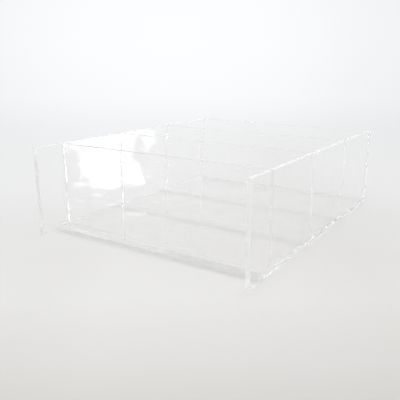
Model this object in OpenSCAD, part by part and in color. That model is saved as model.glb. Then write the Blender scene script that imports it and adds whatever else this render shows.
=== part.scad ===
// Soap loaf mould of clear flat sheet, open at the top, with three loaf cavities side by side.
// The base, both end panels and the back wall are cemented together. The front wall and
// the two dividers stand on the base, in grooves in the end panels, and lift straight out.
// X runs along the loaves, Y from the front wall to the back wall, and Z is up.
// The origin is the middle of the footprint, on the table.

/* [Loaf] */
// Length of a loaf, between the end panels
loaf_l = 200; // [120:1:300]
// Width of a loaf, between two walls
loaf_w = 72; // [50:1:100]
// Depth of a cavity, from the base up to the rim
loaf_d = 72; // [40:1:100]

/* [Sheet] */
// Thickness of the sheet that every piece is cut from
sheet_t = 4; // [3:0.5:6]
// How far the end panels stand out in front of the front wall
overhang = 29; // [10:1:40]
// How far the base stands out in front of the front wall
lip = 9; // [2:1:10]

/* [Grooves] */
// Depth of the grooves in the end panels
groove_d = 1.5; // [1:0.1:2]
// Running gap all round a wall in its groove
slide_gap = 0.15; // [0.05:0.05:0.3]

/* [Hidden] */

// Number of loaf cavities, and so of walls that slide
loaves = 3;

// Distance from one wall to the next
pitch = loaf_w + sheet_t;

// Overall height and depth
mould_h = sheet_t + loaf_d;
mould_d = overhang + sheet_t + loaves * pitch;

// Front and rear edges of the end panels
front_y = -mould_d / 2;
rear_y = mould_d / 2;

// Front face of wall number i, counted from the front wall
function wall_y(i) = front_y + overhang + i * pitch;

// How far a wall's tongue reaches into an end panel
tongue = groove_d - slide_gap;

// A groove's cut runs this far past the faces that it opens through
over = 1;

fixed_colour = [0.90, 0.94, 0.95, 0.45];
sliding_colour = [0.80, 0.88, 0.92, 0.45];

// A flat piece of sheet, centred on X, with its front lower edge at y and z
module flat_piece(length, depth, height, y, z) {
    translate([-length / 2, y, z]) cube([length, depth, height]);
}

// Groove for wall number i in the left end panel: open at the rim, stopped at the base's top
module groove(i) {
    translate([-loaf_l / 2 - groove_d, wall_y(i) - slide_gap, sheet_t])
        cube([groove_d + over, sheet_t + 2 * slide_gap, loaf_d + over]);
}

module left_panel_shape() {
    difference() {
        translate([-loaf_l / 2 - sheet_t, front_y, 0]) cube([sheet_t, mould_d, mould_h]);
        for (i = [0:loaves - 1]) groove(i);
    }
}

// Wall number i, loose, with a tongue at each end that runs in the grooves
module sliding_wall(i) {
    color(sliding_colour) flat_piece(loaf_l + 2 * tongue, sheet_t, loaf_d, wall_y(i), sheet_t);
}

// Floor of the cavities, from the lip in front of the front wall to the rear edge
module base_plate() {
    base_y = wall_y(0) - lip;
    color(fixed_colour) flat_piece(loaf_l, rear_y - base_y, sheet_t, base_y, 0);
}

module left_end_panel() {
    color(fixed_colour) left_panel_shape();
}

module right_end_panel() {
    color(fixed_colour) mirror([1, 0, 0]) left_panel_shape();
}

// Fixed wall on the base, flush with the rear edges of the end panels
module back_wall() {
    color(fixed_colour) flat_piece(loaf_l, sheet_t, loaf_d, wall_y(loaves), sheet_t);
}

module front_wall() {
    sliding_wall(0);
}

module front_divider() {
    sliding_wall(1);
}

module rear_divider() {
    sliding_wall(2);
}

base_plate();
left_end_panel();
right_end_panel();
back_wall();
front_wall();
front_divider();
rear_divider();
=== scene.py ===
"""Soap loaf mould of clear acrylic sheet on a pale studio floor. Lengths are in metres."""
import math

import bmesh
import bpy
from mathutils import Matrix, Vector


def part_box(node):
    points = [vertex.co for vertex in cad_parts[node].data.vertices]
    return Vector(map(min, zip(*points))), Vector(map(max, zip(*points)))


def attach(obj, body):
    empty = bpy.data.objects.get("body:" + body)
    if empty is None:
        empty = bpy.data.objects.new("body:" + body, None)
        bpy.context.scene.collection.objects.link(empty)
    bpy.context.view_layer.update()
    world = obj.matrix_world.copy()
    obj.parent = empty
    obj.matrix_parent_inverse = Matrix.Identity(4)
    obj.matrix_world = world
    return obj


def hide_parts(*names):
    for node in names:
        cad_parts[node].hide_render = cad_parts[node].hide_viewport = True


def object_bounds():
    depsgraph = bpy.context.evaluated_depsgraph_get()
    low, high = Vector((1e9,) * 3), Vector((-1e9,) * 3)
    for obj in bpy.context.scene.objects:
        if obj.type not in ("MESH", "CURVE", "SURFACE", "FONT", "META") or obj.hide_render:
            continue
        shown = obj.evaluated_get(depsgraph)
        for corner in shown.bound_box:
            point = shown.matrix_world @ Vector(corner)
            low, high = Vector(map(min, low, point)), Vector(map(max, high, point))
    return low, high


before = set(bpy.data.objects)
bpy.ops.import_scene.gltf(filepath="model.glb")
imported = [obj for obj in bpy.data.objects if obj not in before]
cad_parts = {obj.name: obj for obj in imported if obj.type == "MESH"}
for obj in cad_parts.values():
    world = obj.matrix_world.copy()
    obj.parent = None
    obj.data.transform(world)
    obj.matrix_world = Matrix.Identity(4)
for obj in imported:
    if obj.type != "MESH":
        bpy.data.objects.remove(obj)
cad_low, cad_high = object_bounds()
scene = bpy.context.scene

# ---- sizes, read from the CAD nodes where they can be ----
base_low, base_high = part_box("base_plate")
back_low, back_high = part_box("back_wall")
SHEET = base_high.z - base_low.z
SLIDING = ("front_wall", "front_divider", "rear_divider")
SLIDE_GAP = 0.00015         # running gap all round a wall in its grooves, as in the CAD
STANDING_GAP = 0.00004      # air under a wall that stands loose on the base
ARRIS = 0.00008             # width of the broken edges
TOUCH = 0.000001            # places closer than this are the same place
FLAT_TURN = math.radians(30)    # faces that turn by less than this are flat to each other


# ---- meshes ----
BOX_SIDES = (               # outward normal of each side of a box, and its corners in order
    ((-1, 0, 0), ((0, 0, 0), (0, 0, 1), (0, 1, 1), (0, 1, 0))),
    ((1, 0, 0), ((1, 0, 0), (1, 1, 0), (1, 1, 1), (1, 0, 1))),
    ((0, -1, 0), ((0, 0, 0), (1, 0, 0), (1, 0, 1), (0, 0, 1))),
    ((0, 1, 0), ((0, 1, 0), (0, 1, 1), (1, 1, 1), (1, 1, 0))),
    ((0, 0, -1), ((0, 0, 0), (0, 1, 0), (1, 1, 0), (1, 0, 0))),
    ((0, 0, 1), ((0, 0, 1), (1, 0, 1), (1, 1, 1), (0, 1, 1))),
)


def not_hollow(x, y, z):
    return False


def panel(name, node, body, xs, ys, zs, finish, hollow=not_hollow):
    """Closed solid of the boxes between the break points xs, ys and zs, less those hollow(x, y, z) picks.

    finish(centre, normal) gives each face's material. Edges where the surface turns are broken by
    an arris, apart from those of a face whose material is in UNBROKEN.
    """
    xs, ys, zs = sorted(xs), sorted(ys), sorted(zs)
    mesh = bpy.data.meshes.new(name)
    bm = bmesh.new()
    corners, slots = {}, []

    def corner(i, j, k):
        if (i, j, k) not in corners:
            corners[i, j, k] = bm.verts.new((xs[i], ys[j], zs[k]))
        return corners[i, j, k]

    def filled(i, j, k):
        if not (0 <= i < len(xs) - 1 and 0 <= j < len(ys) - 1 and 0 <= k < len(zs) - 1):
            return False
        middle = ((xs[i] + xs[i + 1]) / 2, (ys[j] + ys[j + 1]) / 2, (zs[k] + zs[k + 1]) / 2)
        return not hollow(*middle)

    for i in range(len(xs) - 1):
        for j in range(len(ys) - 1):
            for k in range(len(zs) - 1):
                if not filled(i, j, k):
                    continue
                for normal, quad in BOX_SIDES:
                    if filled(i + normal[0], j + normal[1], k + normal[2]):
                        continue
                    face = bm.faces.new([corner(i + a, j + b, k + c) for a, b, c in quad])
                    material = finish(face.calc_center_median(), Vector(normal))
                    if material not in slots:
                        slots.append(material)
                    face.material_index = slots.index(material)

    weight = bm.edges.layers.float.new("bevel_weight_edge")
    for edge in bm.edges:
        turns = edge.calc_face_angle(0) > FLAT_TURN
        unbroken = any(slots[face.material_index] in UNBROKEN for face in edge.link_faces)
        edge[weight] = 1.0 if turns and not unbroken else 0.0
    bm.normal_update()
    bm.to_mesh(mesh)
    bm.free()
    for material in slots:
        mesh.materials.append(material)

    piece = bpy.data.objects.new(name, mesh)
    scene.collection.objects.link(piece)
    bevel = piece.modifiers.new("arris", "BEVEL")
    bevel.width = ARRIS
    bevel.segments = 2
    bevel.limit_method = "WEIGHT"
    bevel.use_clamp_overlap = True
    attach(piece, body)
    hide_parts(node)


# ---- shader nodes ----
def node_material(name):
    material = bpy.data.materials.new(name)
    material.use_nodes = True
    tree = material.node_tree
    return material, tree, tree.nodes["Principled BSDF"]


def own_place(tree):
    """A point's place in its piece's own coordinates."""
    return tree.nodes.new("ShaderNodeTexCoord").outputs["Object"]


def noise(tree, vector, scale, detail, stretch=(1, 1, 1)):
    """Noise with about scale features to the metre, drawn out in the directions where stretch is small."""
    mapping = tree.nodes.new("ShaderNodeMapping")
    mapping.inputs["Scale"].default_value = stretch
    texture = tree.nodes.new("ShaderNodeTexNoise")
    texture.inputs["Scale"].default_value = scale
    texture.inputs["Detail"].default_value = detail
    tree.links.new(vector, mapping.inputs["Vector"])
    tree.links.new(mapping.outputs["Vector"], texture.inputs["Vector"])
    return texture.outputs["Fac"]


def spread(tree, value, low, high, to_low, to_high):
    """Map value from low..high to to_low..to_high, clamped."""
    node = tree.nodes.new("ShaderNodeMapRange")
    limits = (("From Min", low), ("From Max", high), ("To Min", to_low), ("To Max", to_high))
    for socket, number in limits:
        node.inputs[socket].default_value = number
    tree.links.new(value, node.inputs["Value"])
    return node.outputs["Result"]


def along(tree, vector, direction, low, high):
    """How far vector goes in the direction, as 0 at low and 1 at high."""
    dot = tree.nodes.new("ShaderNodeVectorMath")
    dot.operation = "DOT_PRODUCT"
    dot.inputs[1].default_value = direction
    tree.links.new(vector, dot.inputs[0])
    return spread(tree, dot.outputs["Value"], low, high, 0, 1)


def graded(tree, value, stops):
    """Colour ramp over value: stops of (place, colour)."""
    ramp = tree.nodes.new("ShaderNodeValToRGB")
    tree.links.new(value, ramp.inputs["Fac"])
    elements = ramp.color_ramp.elements
    for at, _ in stops[1:-1]:
        elements.new(at)
    for element, (at, colour) in zip(elements, stops):
        element.position = at
        element.color = (*colour, 1)
    return ramp.outputs["Color"]


def product(tree, first, second):
    both = tree.nodes.new("ShaderNodeMix")
    both.data_type = "RGBA"
    both.blend_type = "MULTIPLY"
    both.inputs["Factor"].default_value = 1.0
    tree.links.new(first, both.inputs["A"])
    tree.links.new(second, both.inputs["B"])
    return both.outputs["Result"]


def bumped(tree, shader, height, depth):
    """Bump that rises by this depth, in metres, as height goes from 0 to 1."""
    bump = tree.nodes.new("ShaderNodeBump")
    bump.inputs["Strength"].default_value = 1.0
    bump.inputs["Distance"].default_value = depth
    tree.links.new(height, bump.inputs["Height"])
    tree.links.new(bump.outputs["Normal"], shader.inputs["Normal"])


def transparent(tree, tint=1.0):
    shader = tree.nodes.new("ShaderNodeBsdfTransparent")
    shader.inputs["Color"].default_value = (tint, tint, tint, 1)
    return shader


def show_mix(tree, first, second):
    """Make the surface a mix of two shaders. The socket that comes back is 0 for first and 1 for second."""
    mix = tree.nodes.new("ShaderNodeMixShader")
    tree.links.new(first.outputs[0], mix.inputs[1])
    tree.links.new(second.outputs[0], mix.inputs[2])
    tree.links.new(mix.outputs[0], tree.nodes["Material Output"].inputs["Surface"])
    return mix.inputs["Fac"]


def lamps_pass(tree, shader, share):
    """Let this share of a lamp's light go straight through to what is behind."""
    path = tree.nodes.new("ShaderNodeLightPath")
    factor = show_mix(tree, shader, transparent(tree, share))
    tree.links.new(path.outputs["Is Shadow Ray"], factor)


# ---- acrylic finishes ----
ACRYLIC_IOR = 1.491
FACE_PASSES = 0.985         # share of a lamp's light that goes straight through a face
TINT_SWING = (0.97, 1.02)   # how far tooth marks darken and lighten an edge
ROUGH_SWING = (0.85, 1.15)  # how far an edge's roughness changes from patch to patch

# The directions that each sheet runs on in. Marks on its edges don't change across its thickness.
END_PANEL_RUNS = (0, 1, 1)
BASE_RUNS = (1, 1, 0)
WALL_RUNS = (1, 0, 1)


def acrylic(shader, colour, transmission, roughness):
    shader.inputs["Base Color"].default_value = (*colour, 1)
    shader.inputs["IOR"].default_value = ACRYLIC_IOR
    shader.inputs["Transmission Weight"].default_value = transmission
    shader.inputs["Roughness"].default_value = roughness


def clear_sheet(name):
    """Polished cast sheet: a slow swell from casting, a faint haze from handling and hairline rubs."""
    material, tree, shader = node_material(name)
    acrylic(shader, colour=(0.997, 0.997, 0.996), transmission=1.0, roughness=0.0)
    place = own_place(tree)
    swell = noise(tree, place, scale=18, detail=1)
    hazy = noise(tree, place, scale=30, detail=3)
    haze = spread(tree, hazy, low=0.5, high=0.8, to_low=0.0, to_high=0.025)
    rubbed = noise(tree, place, scale=900, detail=2, stretch=(1, 1, 0.06))
    rubs = spread(tree, rubbed, low=0.66, high=0.76, to_low=0.0, to_high=0.035)
    both = tree.nodes.new("ShaderNodeMath")
    both.operation = "ADD"
    tree.links.new(haze, both.inputs[0])
    tree.links.new(rubs, both.inputs[1])
    tree.links.new(both.outputs["Value"], shader.inputs["Roughness"])
    bumped(tree, shader, swell, depth=0.0009)
    lamps_pass(tree, shader, FACE_PASSES)
    return material


def sawn_edge(name, colour, transmission, roughness, passes, runs):
    """Sawn and scraped edge, with fine tooth marks. passes is the share of a lamp's light let through."""
    material, tree, shader = node_material(name)
    acrylic(shader, colour, transmission, roughness)
    place = own_place(tree)
    teeth = noise(tree, place, scale=700, detail=2, stretch=runs)
    patches = noise(tree, place, scale=45, detail=2, stretch=runs)
    least, most = (roughness * swing for swing in ROUGH_SWING)
    patchy = spread(tree, patches, low=0.35, high=0.65, to_low=least, to_high=most)
    tree.links.new(patchy, shader.inputs["Roughness"])
    darkest, lightest = ([min(1, c * swing) for c in colour] for swing in TINT_SWING)
    tint = tree.nodes.new("ShaderNodeMix")
    tint.data_type = "RGBA"
    tint.inputs["A"].default_value = (*darkest, 1)
    tint.inputs["B"].default_value = (*lightest, 1)
    tree.links.new(teeth, tint.inputs["Factor"])
    tree.links.new(tint.outputs["Result"], shader.inputs["Base Color"])
    bumped(tree, shader, teeth, depth=0.00002)
    lamps_pass(tree, shader, passes)
    return material


def see_through(name):
    """Faces that meet a neighbour: nothing of them shows."""
    material = bpy.data.materials.new(name)
    material.use_nodes = True
    tree = material.node_tree
    tree.nodes.clear()
    out = tree.nodes.new("ShaderNodeOutputMaterial")
    tree.links.new(transparent(tree).outputs[0], out.inputs["Surface"])
    return material


def snug(name, share, tint):
    """Close fit of a wall in its groove: this share shows as polished acrylic, and the rest as a tint."""
    material, tree, shader = node_material(name)
    acrylic(shader, colour=(0.99, 0.99, 0.99), transmission=1.0, roughness=0.0)
    cutter = noise(tree, own_place(tree), scale=500, detail=2, stretch=(1, 1, 0.04))
    bumped(tree, shader, cutter, depth=0.00001)
    show_mix(tree, transparent(tree, tint), shader).default_value = share
    return material


CEMENT = see_through("cement_joint")
CONTACT = see_through("acrylic_contact")
SHEET_FACE = clear_sheet("acrylic_face")
GROOVE = snug("acrylic_groove", share=0.0, tint=1.0)
# A wall's left end is nearly see-through, because from the front it would show as a strip.
LEFT_END = snug("acrylic_left_end", share=0.1, tint=0.93)
PANEL_EDGE = sawn_edge(
    "acrylic_panel_edge", colour=(0.985, 0.99, 0.995), transmission=0.75, roughness=0.5,
    passes=0.8, runs=END_PANEL_RUNS)
# The end panels' front edges are copies of the panel edge finish with painted shade in their colour: much
# darker on the left panel, a little darker on the right one.
RIGHT_FRONT_PAINTED_SHADE = sawn_edge(
    "acrylic_right_front_painted_shade", colour=(0.965, 0.96, 0.955), transmission=0.83, roughness=0.42,
    passes=0.97, runs=END_PANEL_RUNS)
LEFT_FRONT_PAINTED_SHADE = sawn_edge(
    "acrylic_left_front_painted_shade", colour=(0.79, 0.79, 0.79), transmission=0.55, roughness=0.4,
    passes=0.97, runs=END_PANEL_RUNS)
# The base plate's edges are darker in colour than the other sawn edges: painted shade for the dark line
# along the base's front edge.
BASE_EDGE_PAINTED_SHADE = sawn_edge(
    "acrylic_base_edge_painted_shade", colour=(0.87, 0.865, 0.86), transmission=0.57, roughness=0.45,
    passes=0.95, runs=BASE_RUNS)
WALL_TOP = sawn_edge(
    "acrylic_wall_top", colour=(0.96, 0.96, 0.96), transmission=0.9, roughness=0.45,
    passes=0.0, runs=WALL_RUNS)
WALL_END = sawn_edge(
    "acrylic_wall_end", colour=(0.99, 0.99, 0.99), transmission=1.0, roughness=0.0,
    passes=1.0, runs=WALL_RUNS)
UNBROKEN = (CEMENT, CONTACT, GROOVE, LEFT_END, WALL_END)


# ---- pieces ----
def faces_along(normal, axis):
    """Whether the face looks along axis, 0, 1 or 2, either way."""
    return abs(normal[axis]) > 0.5


def flat_finish(axis, cemented, edge):
    """Finish of a flat piece whose broad faces look along axis."""
    def finish(centre, normal):
        if cemented(centre, normal):
            return CEMENT
        return SHEET_FACE if faces_along(normal, axis) else edge
    return finish


def base_plate():
    def cemented(centre, normal):
        under_back_wall = normal.z > 0.5 and centre.y > back_low.y
        return faces_along(normal, 0) or under_back_wall

    panel(
        "base_plate_sheet", "base_plate", "frame",
        [base_low.x, base_high.x], [base_low.y, back_low.y, base_high.y], [base_low.z, base_high.z],
        flat_finish(2, cemented, BASE_EDGE_PAINTED_SHADE))


def back_wall():
    def cemented(centre, normal):
        return faces_along(normal, 0) or normal.z < -0.5

    panel(
        "back_wall_sheet", "back_wall", "frame",
        [back_low.x, back_high.x], [back_low.y, back_high.y], [back_low.z, back_high.z],
        flat_finish(1, cemented, WALL_TOP))


def end_panel(side):
    """side is -1 for the left panel and 1 for the right one."""
    node = "left_end_panel" if side < 0 else "right_end_panel"
    low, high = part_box(node)
    inner = side * base_high.x
    outer = side * cad_high.x
    groove_floor = side * (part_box("front_wall")[1].x + SLIDE_GAP)
    grooves = [(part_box(wall)[0].y - SLIDE_GAP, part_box(wall)[1].y + SLIDE_GAP) for wall in SLIDING]
    ys = [low.y, base_low.y, back_low.y, high.y] + [y for groove in grooves for y in groove]

    def hollow(x, y, z):
        in_groove = any(front < y < back for front, back in grooves)
        return in_groove and z > SHEET and abs(x) < abs(groove_floor)

    def finish(centre, normal):
        if faces_along(normal, 0):
            beside_base = centre.z < SHEET and centre.y > base_low.y
            beside_back = centre.y > back_low.y
            is_inner = abs(centre.x - inner) < TOUCH
            return CEMENT if is_inner and (beside_base or beside_back) else SHEET_FACE
        at_groove = any(front - TOUCH < centre.y < back + TOUCH for front, back in grooves)
        if at_groove and centre.z > SHEET / 2 and abs(centre.x) < abs(groove_floor):
            return GROOVE
        if normal.y < -0.5:
            return LEFT_FRONT_PAINTED_SHADE if side < 0 else RIGHT_FRONT_PAINTED_SHADE
        return PANEL_EDGE

    panel(
        node + "_sheet", node, "frame",
        [inner, groove_floor, outer], ys, [low.z, SHEET, high.z], finish, hollow)


def sliding_wall(node):
    low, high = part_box(node)

    def finish(centre, normal):
        if normal.z > 0.5:
            return WALL_TOP
        if normal.z < -0.5:
            return CONTACT
        if faces_along(normal, 0):
            return LEFT_END if normal.x < 0 else WALL_END
        in_groove = abs(centre.x) > base_high.x
        return CONTACT if in_groove else SHEET_FACE

    panel(
        node + "_sheet", node, node,
        [low.x, base_low.x, base_high.x, high.x], [low.y, high.y], [low.z + STANDING_GAP, high.z],
        finish)


base_plate()
back_wall()
end_panel(-1)
end_panel(1)
for wall in SLIDING:
    sliding_wall(wall)


# ---- floor and backdrop ----
BACKDROP_AT = (-0.59, 0.807, 0.0)   # from the mould to the backdrop's brightest place
BACKDROP_BY_HEIGHT = (      # (sine of the elevation + 0.5, colour)
    (0.0, (0.79, 0.78, 0.765)), (0.20, (0.80, 0.795, 0.785)), (0.30, (0.845, 0.85, 0.85)),
    (0.35, (0.875, 0.885, 0.895)), (0.39, (0.92, 0.93, 0.945)), (0.43, (0.955, 0.97, 0.985)),
    (0.52, (0.975, 0.99, 1.005)), (0.62, (0.975, 0.99, 1.0)), (0.75, (0.86, 0.86, 0.86)),
    (1.0, (0.86, 0.86, 0.86)))
BACKDROP_BY_TURN = (        # (half the cosine of the turn from BACKDROP_AT + 0.5, share)
    (0.0, (0.90, 0.90, 0.90)), (0.5, (0.91, 0.91, 0.91)), (0.93, (0.91, 0.91, 0.91)),
    (0.953, (0.90, 0.90, 0.90)), (0.973, (0.93, 0.93, 0.93)), (0.99, (0.98, 0.98, 0.98)),
    (1.0, (1.0, 1.0, 1.0)))
FLOOR_RADIUS = 6.0
FLOOR_DROP = 0.00005        # air under the mould
FLOOR_FADE = (0.20, 1.1)    # the floor fades into the backdrop between these distances from the origin
FLOOR_TONE = 0.765          # scales every colour of the floor's painted shade by depth, below
FLOOR_DEPTH = (-0.55, 0.835, 0.0)   # towards the rear left
FLOOR_DEPTH_SPAN = (-0.30, 0.10)    # from the origin, in that direction
FLOOR_COLOUR_AND_SHADE_BY_DEPTH = (          # (place in FLOOR_DEPTH_SPAN, colour): the floor's colour, with painted shade that darkens it towards the front right
    (0.0, (0.635, 0.62, 0.595)), (0.12, (0.725, 0.715, 0.70)), (0.3, (0.80, 0.795, 0.78)),
    (0.5, (0.785, 0.78, 0.77)), (0.75, (0.80, 0.80, 0.795)), (1.0, (0.85, 0.85, 0.855)))
FLOOR_SIDE = (0.835, 0.55, 0.0)     # towards the rear right
FLOOR_SIDE_SPAN = (-0.20, 0.20)     # from the origin, in that direction
FLOOR_LIGHT_AND_SHADE_BY_SIDE = (           # (place in FLOOR_SIDE_SPAN, share): painted light and shade across the floor, darker towards the rear right
    (0.0, (0.985, 0.985, 0.985)), (0.2, (0.97, 0.97, 0.97)), (0.31, (1.0, 1.0, 1.0)),
    (0.45, (0.985, 0.985, 0.985)), (0.6, (0.965, 0.96, 0.96)), (0.75, (0.92, 0.915, 0.91)),
    (1.0, (0.95, 0.945, 0.945)))


def floor_material():
    material, tree, surface = node_material("pale_floor")
    surface.inputs["Roughness"].default_value = 0.05
    surface.inputs["Specular IOR Level"].default_value = 1.0
    place = own_place(tree)
    # The floor's colour carries painted shade by depth and painted light and shade across it.
    depth_colours = [(at, [c * FLOOR_TONE for c in colour]) for at, colour in FLOOR_COLOUR_AND_SHADE_BY_DEPTH]
    shade_by_depth = graded(tree, along(tree, place, FLOOR_DEPTH, *FLOOR_DEPTH_SPAN), depth_colours)
    light_and_shade_by_side = graded(tree, along(tree, place, FLOOR_SIDE, *FLOOR_SIDE_SPAN), FLOOR_LIGHT_AND_SHADE_BY_SIDE)
    tree.links.new(product(tree, shade_by_depth, light_and_shade_by_side), surface.inputs["Base Color"])
    distance = tree.nodes.new("ShaderNodeVectorMath")
    distance.operation = "LENGTH"
    tree.links.new(place, distance.inputs[0])
    fade = tree.nodes.new("ShaderNodeMapRange")
    fade.interpolation_type = "SMOOTHERSTEP"
    fade.inputs["From Min"].default_value = FLOOR_FADE[0]
    fade.inputs["From Max"].default_value = FLOOR_FADE[1]
    tree.links.new(distance.outputs["Value"], fade.inputs["Value"])
    tree.links.new(fade.outputs["Result"], show_mix(tree, surface, transparent(tree)))
    return material


def floor():
    mesh = bpy.data.meshes.new("floor")
    bm = bmesh.new()
    bmesh.ops.create_circle(bm, cap_ends=True, segments=96, radius=FLOOR_RADIUS)
    bmesh.ops.translate(bm, verts=bm.verts, vec=(0, 0, -FLOOR_DROP))
    bm.to_mesh(mesh)
    bm.free()
    mesh.materials.append(floor_material())
    obj = bpy.data.objects.new("floor", mesh)
    scene.collection.objects.link(obj)


def backdrop():
    """Light by direction: brightest just above the horizon behind the mould."""
    world = bpy.data.worlds.new("studio")
    scene.world = world
    world.use_nodes = True
    tree = world.node_tree
    background = tree.nodes["Background"]
    direction = tree.nodes.new("ShaderNodeTexCoord").outputs["Generated"]
    by_height = graded(tree, along(tree, direction, (0, 0, 1), -0.5, 0.5), BACKDROP_BY_HEIGHT)
    by_turn = graded(tree, along(tree, direction, BACKDROP_AT, -1, 1), BACKDROP_BY_TURN)
    tree.links.new(product(tree, by_height, by_turn), background.inputs["Color"])
    background.inputs["Strength"].default_value = 1.0


# ---- lamps and camera ----
CAMERA_LENS = 46.23         # in millimetres, on a sensor of CAMERA_SENSOR
CAMERA_SENSOR = 36
CAMERA_AT = (3.273, -3.692, 1.958)  # from the middle of the front edge, in heights of the mould
CAMERA_YAW = math.radians(33.35)    # to the left of straight back
CAMERA_PITCH = math.radians(15.45)  # down from level


def lamp(name, energy, towards, distance, size):
    """Round lamp seen from the origin in the direction towards, and aimed back at it."""
    light = bpy.data.lights.new(name, "AREA")
    light.shape = "DISK"
    light.size = size
    light.energy = energy
    obj = bpy.data.objects.new(name, light)
    scene.collection.objects.link(obj)
    towards = Vector(towards).normalized()
    obj.location = towards * distance
    obj.rotation_euler = (-towards).to_track_quat("-Z", "Y").to_euler()
    return obj


def overhead_lamps():
    """A small key lamp and a wide soft one. Neither shows in the acrylic."""
    key = lamp("key", energy=46, towards=(0, 0.162, 1), distance=3.0, size=0.42)
    soft = lamp("front_softbox", energy=3.0, towards=(0.35, -0.55, 1), distance=1.6, size=0.9)
    for obj in (key, soft):
        obj.visible_transmission = False
        obj.visible_glossy = False


def reflected_softbox():
    """Low softbox behind on the right, which only the acrylic and glossy surfaces show."""
    obj = lamp("low_softbox", energy=3.8, towards=(0.663, 0.729, 0.170), distance=2.5, size=0.38)
    obj.data.shape = "RECTANGLE"
    obj.data.size_y = 0.36
    obj.visible_camera = False
    obj.visible_diffuse = False
    obj.visible_volume_scatter = False


def camera():
    data = bpy.data.cameras.new("camera")
    data.lens = CAMERA_LENS
    data.sensor_width = CAMERA_SENSOR
    obj = bpy.data.objects.new("camera", data)
    scene.collection.objects.link(obj)
    tall = cad_high.z - cad_low.z
    right, back, up = (share * tall for share in CAMERA_AT)
    obj.location = (right, cad_low.y + back, up)
    level = math.cos(CAMERA_PITCH)
    ahead = Vector((-math.sin(CAMERA_YAW) * level, math.cos(CAMERA_YAW) * level, -math.sin(CAMERA_PITCH)))
    obj.rotation_euler = ahead.to_track_quat("-Z", "Y").to_euler()
    scene.camera = obj


def light_paths():
    """Paths long enough for seven sheets seen through each other, with their highlights kept sharp."""
    cycles = scene.cycles
    cycles.max_bounces = 128
    cycles.transmission_bounces = 128
    cycles.glossy_bounces = 128
    cycles.transparent_max_bounces = 64
    cycles.diffuse_bounces = 4
    cycles.blur_glossy = 0.0
    cycles.sample_clamp_indirect = 0.0
    scene.world.cycles.sampling_method = "NONE"
    scene.view_settings.view_transform = "Standard"


floor()
backdrop()
overhead_lamps()
reflected_softbox()
camera()
light_paths()
